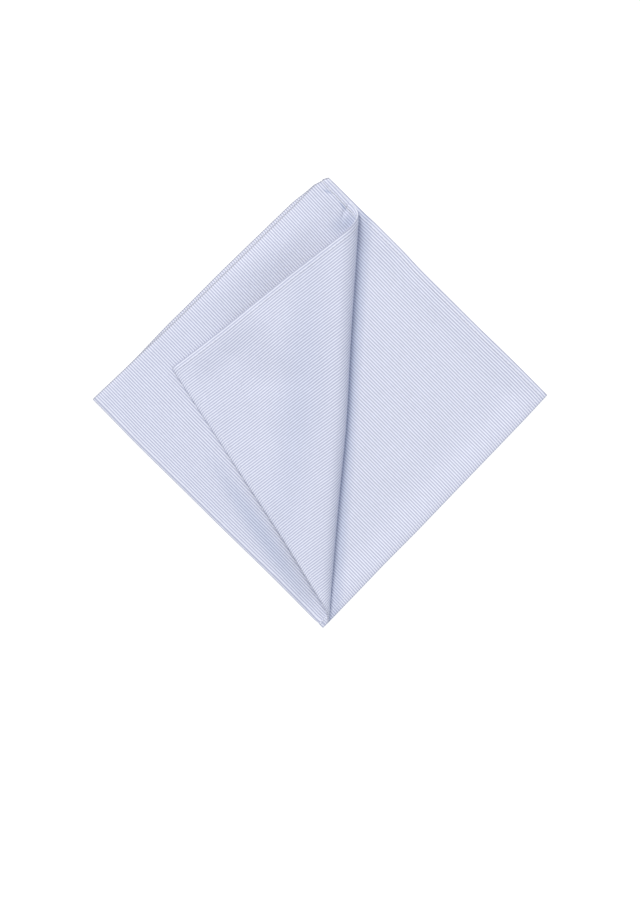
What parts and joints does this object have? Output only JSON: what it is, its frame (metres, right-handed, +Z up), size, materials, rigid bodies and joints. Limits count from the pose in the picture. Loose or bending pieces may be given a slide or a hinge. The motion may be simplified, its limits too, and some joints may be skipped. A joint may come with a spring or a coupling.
{
  "type": "folded pocket square",
  "caption": "Hemmed square of fine-striped cotton shirting, folded in quarters and laid flat, with the free corner of its top layer turned over in a soft roll.",
  "frame": {"origin": "middle of the folded outline's box, on the surface that the cloth lies on", "axes": "+Z up through the layers, +X towards the open corner where the cloth's four free corners lie, +Y towards the corner where the roll is open"},
  "size_m": [0.2346, 0.2342, 0.0167],
  "materials": {
    "shirting": "matt cotton with fine light blue and white stripes"
  },
  "bodies": {
    "root": {"cloth": "shirting"}
  },
  "joints": []
}
